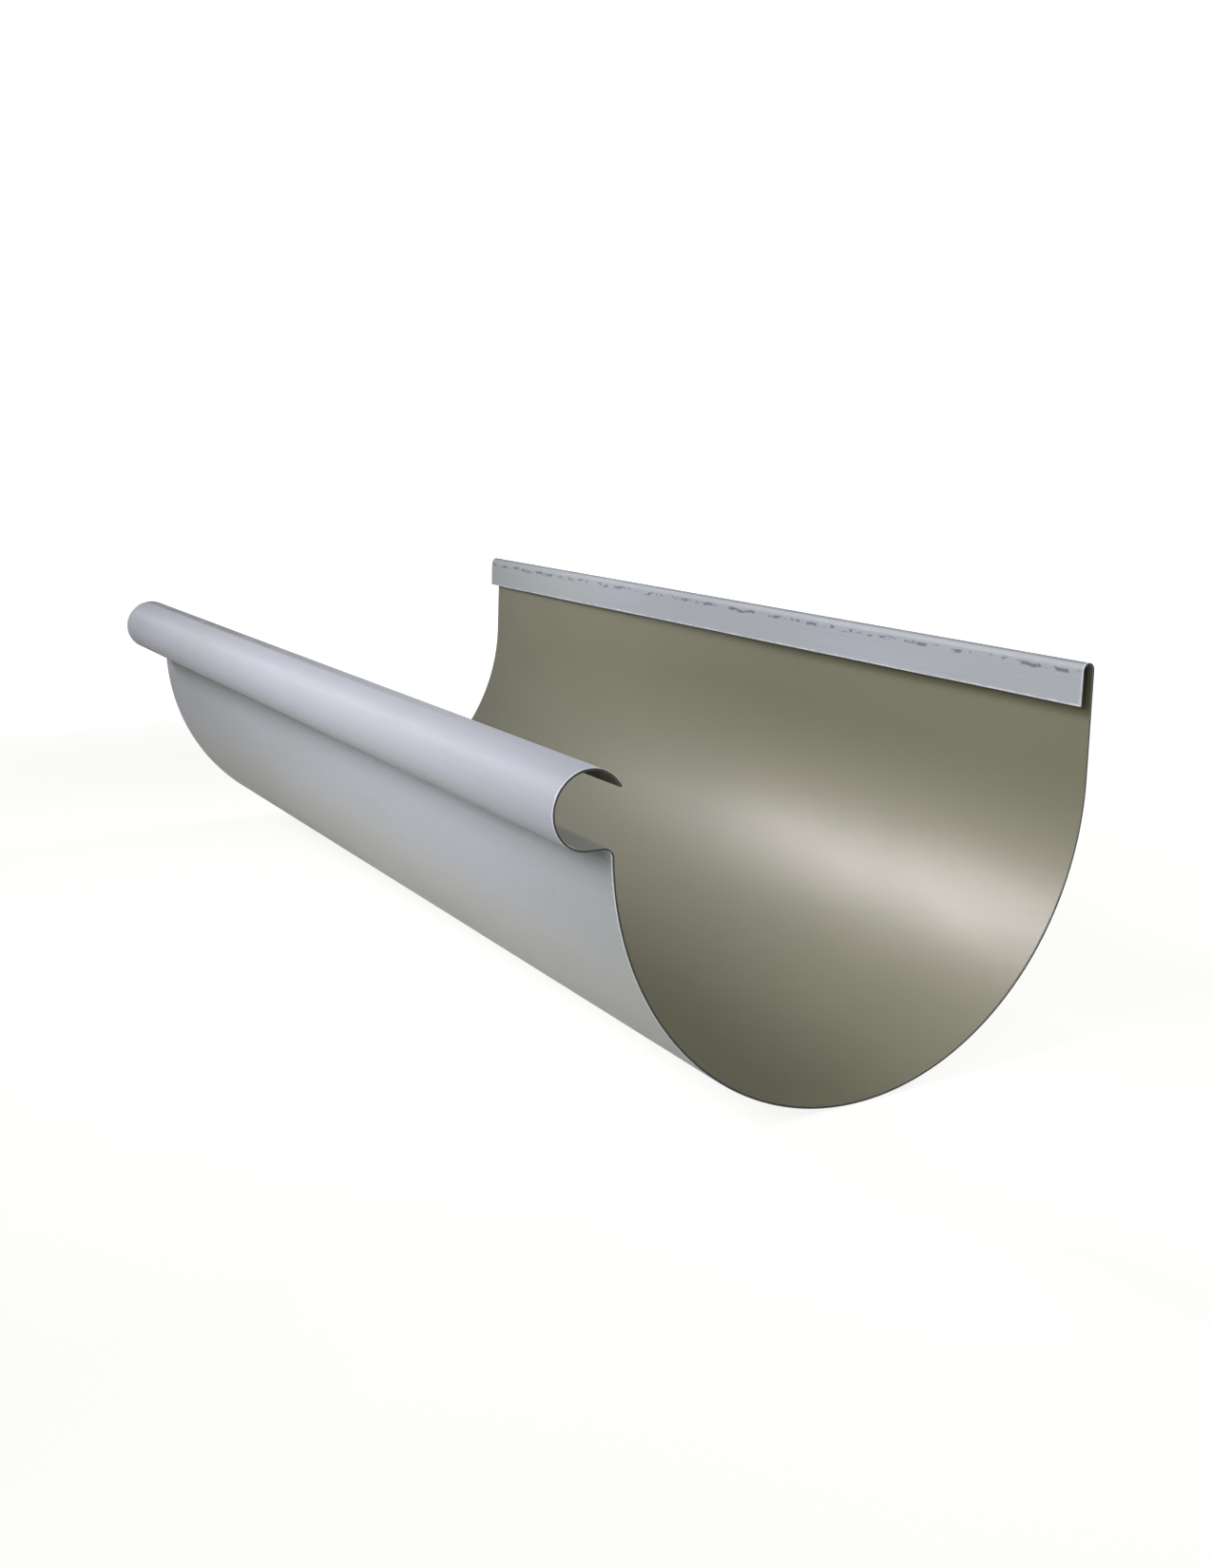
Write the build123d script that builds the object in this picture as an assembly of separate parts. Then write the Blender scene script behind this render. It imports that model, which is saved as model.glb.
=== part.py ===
from build123d import *
from math import cos, radians, sin, sqrt
import os

# Half round gutter: one length of sheet, rolled into a trough with a bead along
# the front rim and an open hem along the taller back rim.
# Millimetres. X runs across the trough from the bead to the back wall, Y along
# the gutter and Z up. The lowest line of the trough lies on Z = 0, and the
# origin is midway between the outermost bead, the back wall and the cut ends.

# The sheet and the stock length
sheet = 0.7
length = 340.0

# The trough: a true half circle, measured on its outside face
trough_radius = 76.2

# The front rim: a short tail turned outwards, then the bead rolled up and over
tail_drop = 2.0
corner_radius = 2.0
tail_run = 4.0
bead_diameter = 19.0
bead_sweep = 240.0

# The back rim: a straight wall, then an open hem turned into the trough
back_rise = 32.0
hem_depth = 4.5
hem_height = 12.0

# Places that follow, measured from the centre of the half circle
corner_z = -tail_drop - corner_radius
corner_x = -sqrt((trough_radius + corner_radius) ** 2 - corner_z**2)
bead_radius = bead_diameter / 2
bead_x = corner_x - tail_run
bead_z = bead_radius - tail_drop
fold_radius = hem_depth / 2
fold_x = trough_radius - fold_radius
fold_z = back_rise - fold_radius
middle_x = (bead_x - bead_radius + trough_radius) / 2


def bead():
    """The roll, from its free lip over the top and round to the tail."""
    lip_angle = 270.0 - bead_sweep
    return CenterArc((bead_x, bead_z), bead_radius, lip_angle, bead_sweep)


def tail_and_corner():
    """The level tail and the bend that turns it down into the front wall."""
    reach = corner_radius / (trough_radius + corner_radius)
    bend_start = (corner_x, -tail_drop)
    bend_end = (corner_x * (1 - reach), corner_z * (1 - reach))
    tail = Line((bead_x, -tail_drop), bend_start)
    return tail + TangentArc(bend_start, bend_end, tangent=(1, 0))


def trough():
    """The half circle, from the corner bend under the trough to the back wall."""
    share = trough_radius / (trough_radius + corner_radius)
    start = (corner_x * share, corner_z * share)
    return ThreePointArc(start, (0, -trough_radius), (trough_radius, 0))


def back_wall_and_hem():
    """The straight back wall, the fold over its top and the hem's free leg."""
    wall = Line((trough_radius, 0), (trough_radius, fold_z))
    fold = CenterArc((fold_x, fold_z), fold_radius, 0, 180)
    leg = Line((fold_x - fold_radius, fold_z), (fold_x - fold_radius, back_rise - hem_height))
    return wall + fold + leg


def section():
    """The rolled section: the outside face line, thickened inwards by the sheet."""
    outside = Wire((bead() + tail_and_corner() + trough() + back_wall_and_hem()).edges())
    outline = offset(outside, amount=sheet, side=Side.LEFT, closed=True)
    return make_face(outline.edges())


def gutter():
    """The section drawn out along the gutter and set on its lowest line."""
    stock = extrude(Plane.XZ * section(), amount=length / 2, both=True)
    return Pos(-middle_x, 0, trough_radius) * stock


os.makedirs("parts", exist_ok=True)
export_step(gutter(), "parts/gutter.step")
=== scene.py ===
from math import asin, cos, degrees, radians, sin, sqrt

import bpy
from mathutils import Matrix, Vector


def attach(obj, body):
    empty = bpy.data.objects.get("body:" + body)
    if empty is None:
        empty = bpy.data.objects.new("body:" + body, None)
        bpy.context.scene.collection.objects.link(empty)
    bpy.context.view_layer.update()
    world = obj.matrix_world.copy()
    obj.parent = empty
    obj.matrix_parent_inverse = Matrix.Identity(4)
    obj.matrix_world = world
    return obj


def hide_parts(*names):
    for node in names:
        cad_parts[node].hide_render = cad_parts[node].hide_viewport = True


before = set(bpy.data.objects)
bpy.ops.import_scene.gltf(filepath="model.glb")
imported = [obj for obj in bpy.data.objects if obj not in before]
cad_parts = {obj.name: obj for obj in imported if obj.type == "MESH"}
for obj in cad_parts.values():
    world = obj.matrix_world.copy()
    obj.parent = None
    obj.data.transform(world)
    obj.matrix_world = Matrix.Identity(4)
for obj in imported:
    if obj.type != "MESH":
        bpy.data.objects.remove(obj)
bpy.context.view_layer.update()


# THE ROLLED SHEET
# One strip of coated steel, 0.7 mm thick, run through forming rolls: a bead curled outwards on the
# front rim, a tail and a small bend, the half circle, a taller back wall and an open hem folded in.
# All sizes are in metres. The outside coat is on the path's right, the inside coat on its left.

sheet_thick = 0.0007
half_length = 0.170
trough_radius = 0.0762
tail_drop, tail_run = 0.002, 0.004
corner_radius = 0.002
bead_radius = 0.0095
bead_sweep = 240
back_rise = 0.032
fold_radius = 0.00225
hem_height = 0.012
hem_wave = 0.00012
slow_wave, quick_wave = 41, 97  # the hem's two waves, in radians per metre of its length
paint_skin = 0.00004  # the drawn face lies this far inside the steel's nominal face
edge_chamfer = 0.00010
close_steps = (edge_chamfer, 3 * edge_chamfer)  # how far behind an edge its last stations lie
bead_steps, tail_steps, corner_steps, trough_steps = 72, 5, 14, 132
wall_steps, fold_steps, hem_steps, long_steps = 22, 20, 9, 84
outside_slot, inside_slot, cut_slot = 0, 1, 2  # the materials, in the order that they are made

# Places that follow. The frame's zero across is midway between the bead's face and the back wall.
corner_drop = tail_drop + corner_radius
corner_out = sqrt((trough_radius + corner_radius) ** 2 - corner_drop**2)
bead_out = corner_out + tail_run
trough_x, trough_z = (bead_out + bead_radius - trough_radius) / 2, trough_radius
corner_x, corner_z = trough_x - corner_out, trough_z - corner_drop
bead_x, bead_z = trough_x - bead_out, trough_z + bead_radius - tail_drop
fold_x, wall_top_z = trough_x + trough_radius - fold_radius, trough_z + back_rise - fold_radius
hem_edge_z = trough_z + back_rise - hem_height
corner_end_angle = degrees(asin(corner_drop / (trough_radius + corner_radius)))
bead_end_angle = 270
bead_lip_angle = bead_end_angle - bead_sweep


def arc_points(x, z, radius, start, end, steps):
    """Points on an arc about (x, z) between two angles in degrees, with left-hand normals."""
    turn = 1 if end > start else -1
    angles = [radians(start + (end - start) * k / steps) for k in range(steps + 1)]
    return [(x + radius * cos(a), z + radius * sin(a), -turn * cos(a), -turn * sin(a))
            for a in angles]


def line_points(start, end, steps):
    """Points on a straight run, without its last one, each with its left-hand normal."""
    over, up = end[0] - start[0], end[1] - start[1]
    run = sqrt(over**2 + up**2)
    normal = (-up / run, over / run)
    return [(start[0] + over * k / steps, start[1] + up * k / steps, *normal)
            for k in range(steps)]


bead = arc_points(bead_x, bead_z, bead_radius, bead_lip_angle, bead_end_angle, bead_steps)
corner = arc_points(corner_x, corner_z, corner_radius, 90, corner_end_angle, corner_steps)
trough = arc_points(
    trough_x, trough_z, trough_radius, 180 + corner_end_angle, 360, trough_steps)
fold = arc_points(fold_x, wall_top_z, fold_radius, 0, 180, fold_steps)
tail = line_points(bead[-1][:2], corner[0][:2], tail_steps)
wall = line_points(trough[-1][:2], fold[0][:2], wall_steps)
hem_leg = line_points(fold[-1][:2], (fold[-1][0], hem_edge_z), hem_steps)
hem_lip = (fold[-1][0], hem_edge_z, *hem_leg[-1][2:])
path = bead[:-1] + tail + corner[:-1] + trough[:-1] + wall + fold[:-1] + hem_leg + [hem_lip]


def with_edge_stations(points):
    """Adds close stations behind both free edges, so that their chamfers shade as round edges."""
    def behind(edge, inner, step):
        gap = sqrt((inner[0] - edge[0]) ** 2 + (inner[1] - edge[1]) ** 2)
        return tuple(a + (b - a) * step / gap for a, b in zip(edge, inner))
    first = [behind(points[0], points[1], step) for step in close_steps]
    last = [behind(points[-1], points[-2], step) for step in reversed(close_steps)]
    return [points[0], *first, *points[1:-1], *last, points[-1]]


path = with_edge_stations(path)
around = [0.0]
for before, after in zip(path, path[1:]):
    around.append(around[-1] + sqrt((after[0] - before[0]) ** 2 + (after[1] - before[1]) ** 2))
sheet_width = around[-1]
hem_fold_end = sheet_width - (wall_top_z - hem_edge_z)

near_cut = [-half_length, *(-half_length + step for step in close_steps)]
stations = near_cut + [
    -half_length + 2 * half_length * k / long_steps for k in range(1, long_steps)]
stations += [-y for y in reversed(near_cut)]


def hem_bow(u, y):
    """How far the hem's free leg waves off straight: nothing at the fold, most at its edge."""
    down = max(0.0, (u - hem_fold_end) / (sheet_width - hem_fold_end))
    return hem_wave * down * (sin(slow_wave * y + 0.6) + 0.6 * sin(quick_wave * y + 2.0))


points, skins = [], {}
for side, depth in (("outside", paint_skin), ("inside", sheet_thick)):
    inward = 1 if side == "outside" else -1
    for i, (x, z, nx, nz) in enumerate(path):
        for j, y in enumerate(stations):
            at_edge = i in (0, len(path) - 1) or j in (0, len(stations) - 1)
            offset = depth + (inward * edge_chamfer if at_edge else 0.0)
            bow = hem_bow(around[i], y)
            skins[side, i, j] = len(points)
            points.append((x + nx * offset + bow, y, z + nz * offset))

faces, slots = [], []
rows, columns = len(path) - 1, len(stations) - 1
for i in range(rows):
    for j in range(columns):
        ring = [(i, j), (i, j + 1), (i + 1, j + 1), (i + 1, j)]
        faces.append([skins["outside", a, b] for a, b in ring])
        faces.append([skins["inside", a, b] for a, b in reversed(ring)])
        slots += [outside_slot, inside_slot]
rim = [(i, 0) for i in range(rows)] + [(rows, j) for j in range(columns)]
rim += [(i, columns) for i in range(rows, 0, -1)] + [(0, j) for j in range(columns, 0, -1)]
rim_steps = list(zip(rim, rim[1:] + rim[:1]))
for here, there in rim_steps:
    faces.append([skins["outside", *here], skins["outside", *there],
                  skins["inside", *there], skins["inside", *here]])
    slots.append(cut_slot)

gutter_mesh = bpy.data.meshes.new("gutter_sheet")
gutter_mesh.from_pydata(points, [], faces)
gutter_mesh.polygons.foreach_set("material_index", slots)
gutter_mesh.polygons.foreach_set("use_smooth", [True] * len(faces))
rim_pairs = {frozenset((skins[side, *here], skins[side, *there]))
             for side in ("outside", "inside") for here, there in rim_steps}
sharp = gutter_mesh.attributes.new("sharp_edge", "BOOLEAN", "EDGE")
sharp.data.foreach_set("value", [frozenset(e.vertices) in rim_pairs for e in gutter_mesh.edges])

# Each point knows where it lies on the flat strip: across it from the bead's lip, along it from the
# near cut end, and how far off the nearest of its four edges is. The strip's two sides are set well
# apart in the third direction, so that no grain shows on both.
sides_apart = 0.5
flat_places, edge_gaps = [], []
for side, i, j in skins:
    from_cut = stations[j] + half_length
    flat_places += [around[i], from_cut, 0.0 if side == "outside" else sides_apart]
    edge_gaps.append(
        min(around[i], sheet_width - around[i], from_cut, 2 * half_length - from_cut))
flat_place = gutter_mesh.attributes.new("flat_place", "FLOAT_VECTOR", "POINT")
flat_place.data.foreach_set("vector", flat_places)
to_edge = gutter_mesh.attributes.new("to_edge", "FLOAT", "POINT")
to_edge.data.foreach_set("value", edge_gaps)
gutter_mesh.update()
gutter_sheet = bpy.data.objects.new("gutter_sheet", gutter_mesh)
bpy.context.scene.collection.objects.link(gutter_sheet)


# GRAIN, WEAR AND EDGE HIGHLIGHT OF ROLLED, COATED SHEET
# Both coats were put on flat coil and then formed. The rolls leave faint lengthwise lines, the coat
# has a fine peel and slow cloudy changes, and a ragged band runs beside the free edges: on the
# inside the coat is rubbed thin there, on the outside the band is a painted highlight.

def feed(tree, socket, value):
    """Gives an input socket a plain value, or links another node's output to it."""
    if isinstance(value, bpy.types.NodeSocket):
        tree.links.new(value, socket)
    else:
        socket.default_value = value


def add_node(tree, kind, inputs=None, **settings):
    """Adds one node. An input, by name or number, is a plain value or another node's output."""
    made = tree.nodes.new(kind)
    for name, value in settings.items():
        setattr(made, name, value)
    for name, value in (inputs or {}).items():
        feed(tree, made.inputs[name], value)
    return made


def new_group(name, takes, gives):
    """Starts a shader node group with named sockets, each given as a name and a kind of value."""
    tree = bpy.data.node_groups.new(name, "ShaderNodeTree")
    for direction, sockets in (("INPUT", takes), ("OUTPUT", gives)):
        for socket, kind in sockets.items():
            tree.interface.new_socket(
                socket, in_out=direction, socket_type="NodeSocket" + kind)
    taken = tree.nodes.new("NodeGroupInput").outputs
    return tree, taken, tree.nodes.new("NodeGroupOutput").inputs


def noise(tree, place, stretch, detail=2.0, rough=0.5, warp=0.0):
    """A noise over the flat strip. Stretch is its features per metre across, along and through."""
    scaled = add_node(tree, "ShaderNodeVectorMath", {0: place, 1: stretch}, operation="MULTIPLY")
    return add_node(tree, "ShaderNodeTexNoise", {
        "Vector": scaled.outputs[0], "Scale": 1.0, "Detail": detail, "Roughness": rough,
        "Distortion": warp}).outputs[0]


def ramp(tree, value, low, high, to_low=0.0, to_high=1.0):
    """Maps one range to another along a smooth S curve."""
    return add_node(tree, "ShaderNodeMapRange", {
        0: value, 1: low, 2: high, 3: to_low, 4: to_high},
        interpolation_type="SMOOTHSTEP").outputs[0]


def maths(tree, operation, first, second=0.0):
    """One step of arithmetic."""
    return add_node(tree, "ShaderNodeMath", {0: first, 1: second}, operation=operation).outputs[0]


def times(tree, first, second):
    """The product of two values."""
    return maths(tree, "MULTIPLY", first, second)


def blend(tree, amount, first, second):
    """Mixes two colours."""
    made = tree.nodes.new("ShaderNodeMix")
    made.data_type = "RGBA"
    for number, value in ((0, amount), (6, first), (7, second)):
        feed(tree, made.inputs[number], value)
    return made.outputs[2]


grain_group, taken, given = new_group(
    "rolled_grain", {"Place": "Vector"}, {"Lines": "Float", "Clouds": "Float", "Peel": "Float"})
roll_lines = noise(grain_group, taken["Place"], (1500, 14, 1500), 3.0, 0.6)
slow_clouds = noise(grain_group, taken["Place"], (26, 11, 26), 3.0, 0.55, 0.4)
fine_peel = noise(grain_group, taken["Place"], (1300, 1100, 1300), 2.0)
for name, value in (("Lines", roll_lines), ("Clouds", slow_clouds), ("Peel", fine_peel)):
    grain_group.links.new(value, given[name])

wear_and_highlight_group, taken, given = new_group(
    "edge_wear_and_highlight", {"Place": "Vector", "To Edge": "Float", "Reach": "Float"}, {"Wear And Highlight": "Float"})
ragged = noise(wear_and_highlight_group, taken["Place"], (900, 300, 900), 4.0, 0.65)
reach = times(wear_and_highlight_group, taken["Reach"], maths(wear_and_highlight_group, "POWER", ragged, 1.6))
near_edge = maths(wear_and_highlight_group, "DIVIDE", taken["To Edge"], maths(wear_and_highlight_group, "ADD", reach, 1e-6))
wear_and_highlight_group.links.new(ramp(wear_and_highlight_group, near_edge, 0.5, 1.1, 1.0, 0.0), given["Wear And Highlight"])


def new_coat(name):
    """Starts a material on the sheet: its tree, its shader's inputs and its place on the strip."""
    made = bpy.data.materials.new(name)
    made.use_nodes = True
    gutter_mesh.materials.append(made)
    tree = made.node_tree
    place = add_node(tree, "ShaderNodeAttribute", attribute_name="flat_place").outputs["Vector"]
    edge = add_node(tree, "ShaderNodeAttribute", attribute_name="to_edge").outputs["Fac"]
    return tree, tree.nodes["Principled BSDF"].inputs, place, edge


def place_group(tree, group, inputs):
    """Puts a node group into a material and gives its outputs."""
    made = tree.nodes.new("ShaderNodeGroup")
    made.node_tree = group
    for name, value in inputs.items():
        feed(tree, made.inputs[name], value)
    return made.outputs


def roughen(tree, shader, height, strength, distance):
    """Gives a shader a bump of the given height, at most a distance in metres deep."""
    bump = add_node(tree, "ShaderNodeBump", {
        "Strength": strength, "Distance": distance, "Height": height})
    tree.links.new(bump.outputs[0], shader["Normal"])


# THE OUTSIDE COAT
# A satin factory paint in a pale lavender grey, over the bead, the tail's underside, the outside of
# the trough and the back wall, the fold and the side of the hem that shows. The fold is scuffed.

tree, paint, place, edge = new_coat("outside_paint")
grain = place_group(tree, grain_group, {"Place": place})
across, along, _ = add_node(tree, "ShaderNodeSeparateXYZ", {0: place}).outputs

paint_colour = (0.328, 0.343, 0.384, 1)
paint_shade = (0.313, 0.338, 0.346, 1)
roll_line_colour = (0.276, 0.288, 0.313, 1)
colour = blend(tree, ramp(tree, grain["Clouds"], 0.35, 0.68), paint_colour, paint_shade)
colour = blend(tree, ramp(tree, grain["Lines"], 0.45, 0.75, 0.0, 0.35), colour, roll_line_colour)

# Round the trough, from just under the bead to the back wall, the coat is painted a little lighter
# and warmer: a painted reflection of the warm floor. Places across the strip are measured from the
# bead's lip.
floor_reflection_colour = (0.346, 0.358, 0.352, 1)
tint_from, tint_full, tint_until, tint_gone = 0.066, 0.086, 0.262, 0.292
tint_sway = 0.008
uneven = maths(tree, "ADD", across, times(tree, grain["Clouds"], tint_sway))
below_bead = ramp(tree, uneven, tint_from, tint_full, 0.0, 0.9)
below_wall = ramp(tree, uneven, tint_until, tint_gone, 1.0, 0.0)
colour = blend(tree, times(tree, below_bead, below_wall), colour, floor_reflection_colour)

# Scuffs where the fold's curve runs into the flat leg of the hem: short dark dashes in one row.
scuff_colour = (0.10, 0.105, 0.115, 1)
scuff_place = hem_fold_end + 0.0006
scuff_sway = 0.0022
waver = maths(tree, "SUBTRACT", noise(tree, place, (1, 160, 1), 2.0), 0.5)
off_crease = maths(tree, "SUBTRACT", maths(tree, "SUBTRACT", across, scuff_place),
                   times(tree, waver, scuff_sway))
on_crease = ramp(tree, maths(tree, "ABSOLUTE", off_crease), 0.0002, 0.0008, 1.0, 0.0)
dashes = ramp(tree, noise(tree, place, (420, 200, 1), 2.0, 0.6, 0.8), 0.49, 0.58)
scuffs = times(tree, on_crease, dashes)
colour = blend(tree, times(tree, scuffs, 0.8), colour, scuff_colour)

# Painted shade in dark lengthwise lines: on the fold's crown from end to end, on the bead's crown,
# where the line fades towards the near end, and a soft band in the groove under the tail.
painted_shade_colour = (0.11, 0.112, 0.12, 1)
fold_crown = hem_fold_end - 0.0033
bead_crown = 0.0087
groove_place = 0.0470
patchy = ramp(tree, noise(tree, place, (500, 60, 1), 3.0, 0.6), 0.25, 0.6, 0.55, 1.0)


def shade_line(middle, full, gone):
    """A lengthwise line at one place across the strip: full to one half width, gone at another."""
    off = maths(tree, "ABSOLUTE", maths(tree, "SUBTRACT", across, middle))
    return times(tree, ramp(tree, off, full, gone, 1.0, 0.0), patchy)


fold_line = times(tree, shade_line(fold_crown, 0.0007, 0.0015), 0.62)
bead_line = times(tree, shade_line(bead_crown, 0.0019, 0.0040),
                  ramp(tree, along, 0.0, 0.28, 0.05, 0.92))
groove = times(tree, shade_line(groove_place, 0.0010, 0.0060), 0.35)
painted_shade = maths(tree, "MAXIMUM", maths(tree, "MAXIMUM", fold_line, bead_line), groove)
colour = blend(tree, painted_shade, colour, painted_shade_colour)

# A few specks of dirt on the open faces, and a painted highlight along the cut edges: a ragged band
# painted much lighter, where the edges catch the light.
speck_colour = (0.25, 0.25, 0.27, 1)
edge_highlight_colour = (0.68, 0.69, 0.70, 1)
edge_highlight_reach = 0.0016
specks = ramp(tree, noise(tree, place, (260, 210, 1), 2.0, 0.5), 0.735, 0.775)
colour = blend(tree, times(tree, specks, 0.5), colour, speck_colour)
wear_and_highlight = place_group(
    tree, wear_and_highlight_group, {"Place": place, "To Edge": edge, "Reach": edge_highlight_reach})["Wear And Highlight"]
colour = blend(tree, times(tree, wear_and_highlight, 0.6), colour, edge_highlight_colour)

tree.links.new(colour, paint["Base Color"])
tree.links.new(ramp(tree, grain["Clouds"], 0.3, 0.7, 0.48, 0.56), paint["Roughness"])
paint["Specular IOR Level"].default_value = 0.18
height = maths(tree, "ADD", times(tree, grain["Peel"], 0.35), times(tree, grain["Lines"], 0.4))
height = maths(tree, "SUBTRACT", height, times(tree, scuffs, 1.2))
roughen(tree, paint, height, 0.25, 0.00002)


# THE INSIDE COAT
# The strip's other side has a thin olive bronze backer coat with metal flake in it, so it throws a
# soft sheen, drawn out along the rolling lines. It lines the trough, the back wall and the bead.

tree, backer, place, edge = new_coat("inside_backer")
grain = place_group(tree, grain_group, {"Place": place})
backer_colour = (0.155, 0.152, 0.100, 1)
backer_shade = (0.145, 0.144, 0.095, 1)
backer_line_colour = (0.142, 0.140, 0.092, 1)
colour = blend(tree, ramp(tree, grain["Clouds"], 0.3, 0.7), backer_colour, backer_shade)
colour = blend(tree, ramp(tree, grain["Lines"], 0.45, 0.8, 0.0, 0.3), colour, backer_line_colour)

# The bead's channel is painted darker as far as the tail: painted shade inside the curl.
channel_shade_colour = (0.060, 0.061, 0.048, 1)
channel_shade_full, channel_shade_gone = 0.042, 0.048
across = add_node(tree, "ShaderNodeSeparateXYZ", {0: place}).outputs[0]
colour = blend(tree, ramp(tree, across, channel_shade_full, channel_shade_gone, 0.6, 0.0), colour, channel_shade_colour)
thin_colour = (0.14, 0.145, 0.14, 1)
thin_reach = 0.0012
wear_and_highlight = place_group(
    tree, wear_and_highlight_group, {"Place": place, "To Edge": edge, "Reach": thin_reach})["Wear And Highlight"]
colour = blend(tree, times(tree, wear_and_highlight, 0.5), colour, thin_colour)

tree.links.new(colour, backer["Base Color"])
backer["Metallic"].default_value = 0.08
backer["Specular IOR Level"].default_value = 0.32
backer["Anisotropic"].default_value = 0.5
rolling_way = add_node(tree, "ShaderNodeTangent", direction_type="RADIAL", axis="Y")
tree.links.new(rolling_way.outputs[0], backer["Tangent"])
tree.links.new(ramp(tree, grain["Clouds"], 0.3, 0.7, 0.38, 0.42), backer["Roughness"])
height = maths(tree, "ADD", times(tree, grain["Peel"], 0.3), times(tree, grain["Lines"], 0.5))
roughen(tree, backer, height, 0.2, 0.00002)


# THE CUT EDGE
# Bare steel where the strip was sheared, 0.7 mm wide: dull and dark, with the fine cross lines and
# the brighter torn patches that a shear leaves.

tree, steel, place, edge = new_coat("cut_edge")
steel_dark = (0.035, 0.038, 0.042, 1)
steel_bright = (0.085, 0.088, 0.095, 1)
shear = noise(tree, place, (2600, 2600, 60), 2.0, 0.6)
colour = blend(tree, ramp(tree, shear, 0.35, 0.7), steel_dark, steel_bright)
tree.links.new(colour, steel["Base Color"])
steel["Metallic"].default_value = 0.7
tree.links.new(ramp(tree, shear, 0.3, 0.7, 0.42, 0.62), steel["Roughness"])
roughen(tree, steel, shear, 0.4, 0.00004)

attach(gutter_sheet, "root")
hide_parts("gutter")


# THE STUDIO
# A plain white floor and surround, which the camera and the reflections see as white, while the
# floor still takes the gutter's shadow. Six soft lamps hang round it, each kept to its own area.

floor_size = 20.0
floor_colour = (0.60, 0.59, 0.49, 1)
sky_colour = (0.93, 0.96, 1.0, 1)
sky_strength = 0.17
shadow_near, shadow_gone = 0.25, 0.75  # how far from the middle the floor's shadow fades out
white_colour = (1, 1, 1, 1)

floor_mesh = bpy.data.meshes.new("studio_floor")
floor_mesh.from_pydata([(-floor_size, -floor_size, 0), (floor_size, -floor_size, 0),
                        (floor_size, floor_size, 0), (-floor_size, floor_size, 0)],
                       [], [(0, 1, 2, 3)])
studio_floor = bpy.data.objects.new("studio_floor", floor_mesh)
bpy.context.scene.collection.objects.link(studio_floor)


def seen_straight(tree):
    """1 for rays from the camera, off gloss or through glass, otherwise 0."""
    kinds = add_node(tree, "ShaderNodeLightPath").outputs
    either = maths(tree, "MAXIMUM", kinds["Is Camera Ray"], kinds["Is Glossy Ray"])
    return maths(tree, "MAXIMUM", either, kinds["Is Transmission Ray"])


# The floor glows white for the camera and in reflections, but less so under the gutter, where part
# of what is seen is a plain lit floor with the shadow on it.
floor_paint = bpy.data.materials.new("studio_floor")
floor_paint.use_nodes = True
floor_mesh.materials.append(floor_paint)
tree = floor_paint.node_tree
tree.nodes.remove(tree.nodes["Principled BSDF"])
lit = add_node(tree, "ShaderNodeBsdfDiffuse", {"Color": floor_colour})
from_camera = add_node(tree, "ShaderNodeLightPath").outputs["Is Camera Ray"]
lift = ramp(tree, from_camera, 0.0, 1.0, 1.0, 1.3)
glow = add_node(tree, "ShaderNodeEmission", {"Color": white_colour, "Strength": lift})
spot = add_node(tree, "ShaderNodeNewGeometry").outputs["Position"]
away = add_node(tree, "ShaderNodeVectorMath", {0: spot}, operation="LENGTH").outputs["Value"]
share = times(tree, seen_straight(tree), ramp(tree, away, shadow_near, shadow_gone, 0.66, 1.0))
both = add_node(
    tree, "ShaderNodeMixShader", {0: share, 1: lit.outputs[0], 2: glow.outputs[0]})
tree.links.new(both.outputs[0], tree.nodes["Material Output"].inputs[0])

surround = bpy.data.worlds.new("studio")
surround.use_nodes = True
bpy.context.scene.world = surround
tree = surround.node_tree
ambient = tree.nodes["Background"]
ambient.inputs["Color"].default_value = sky_colour
ambient.inputs["Strength"].default_value = sky_strength
white = add_node(tree, "ShaderNodeBackground", {"Color": white_colour, "Strength": 1.0})
both = add_node(tree, "ShaderNodeMixShader", {
    0: seen_straight(tree), 1: ambient.outputs[0], 2: white.outputs[0]})
tree.links.new(both.outputs[0], tree.nodes["World Output"].inputs[0])


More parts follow.
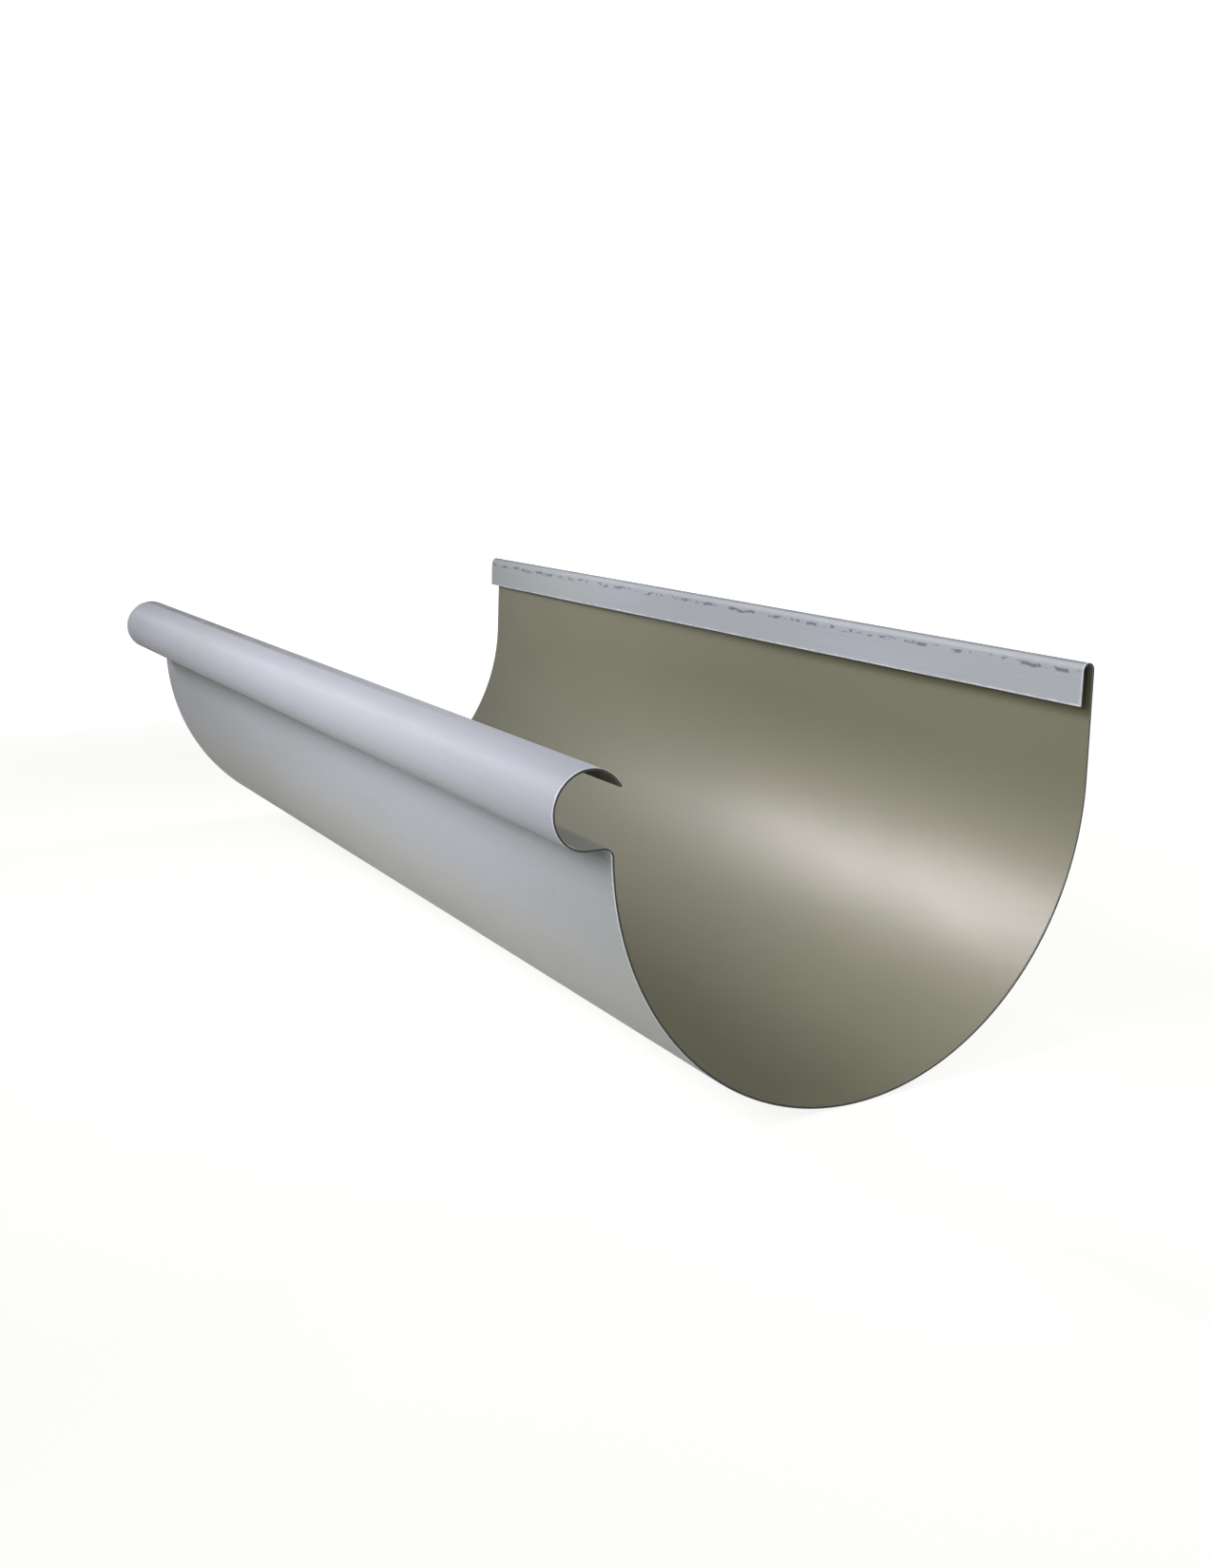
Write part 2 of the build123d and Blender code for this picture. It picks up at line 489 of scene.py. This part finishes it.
def hang_lamp(name, place, aim, size, spread, watts, colour=(1, 1, 1)):
    """A soft lamp at one point, facing another, with a grid that keeps it to a cone in degrees."""
    lamp = bpy.data.lights.new(name, "AREA")
    lamp.shape = "RECTANGLE"
    lamp.size, lamp.size_y = size
    lamp.spread = radians(spread)
    lamp.energy = watts
    lamp.color = colour
    holder = bpy.data.objects.new(name, lamp)
    bpy.context.scene.collection.objects.link(holder)
    holder.location = place
    holder.rotation_euler = (Vector(aim) - Vector(place)).to_track_quat("-Z", "Y").to_euler()


# A long lamp high behind the far end draws the sheen down the trough. Two lamps to the left light
# the bead and the outside of the trough, and a small one reaches the hem towards the far end.
warm_white = (1.0, 0.99, 1.0)
hang_lamp("key_lamp", (-0.515, 0.58, 0.635), (0.10, -0.21, 0.04),
          size=(0.27, 0.62), spread=20, watts=0.50, colour=(0.95, 0.90, 1.0))
hang_lamp("side_lamp", (-0.50, -0.14, 0.33), (0.0, -0.07, 0.07),
          size=(0.30, 0.30), spread=46, watts=0.215, colour=warm_white)
hang_lamp("front_lamp", (-0.55, -0.50, 0.30), (-0.02, -0.06, 0.07),
          size=(0.30, 0.30), spread=60, watts=0.24, colour=warm_white)
hang_lamp("hem_lamp", (-0.55, 0.14, 0.42), (0.08, 0.12, 0.150),
          size=(0.12, 0.12), spread=20, watts=0.058, colour=warm_white)

# From above and behind, a narrow lamp lights the bottom of the trough and a wide one the back wall.
hang_lamp("top_lamp", (0.0077, -0.03, 0.62), (0.0077, -0.03, 0.0),
          size=(0.08, 0.34), spread=18, watts=0.04)
hang_lamp("back_lamp", (0.85, 0.15, 0.40), (0.08, 0.0, 0.05),
          size=(0.40, 0.40), spread=70, watts=1.1)


# THE CAMERA
# It stands low in front of the near end, left of the gutter, looking down its length. Its axis is a
# tenth of the picture's height above the middle, as the photograph was framed.

lens = bpy.data.cameras.new("camera")
lens.lens = 35.424
lens.sensor_width = 36.0
lens.shift_y = -0.1
lens.clip_start, lens.clip_end = 0.01, 100.0
camera = bpy.data.objects.new("camera", lens)
bpy.context.scene.collection.objects.link(camera)
camera.location = (-0.24657, -0.44838, 0.16427)
camera.rotation_euler = [radians(a) for a in (82.965, -1.789, -31.895)]
bpy.context.scene.camera = camera
bpy.context.scene.view_settings.view_transform = "Standard"
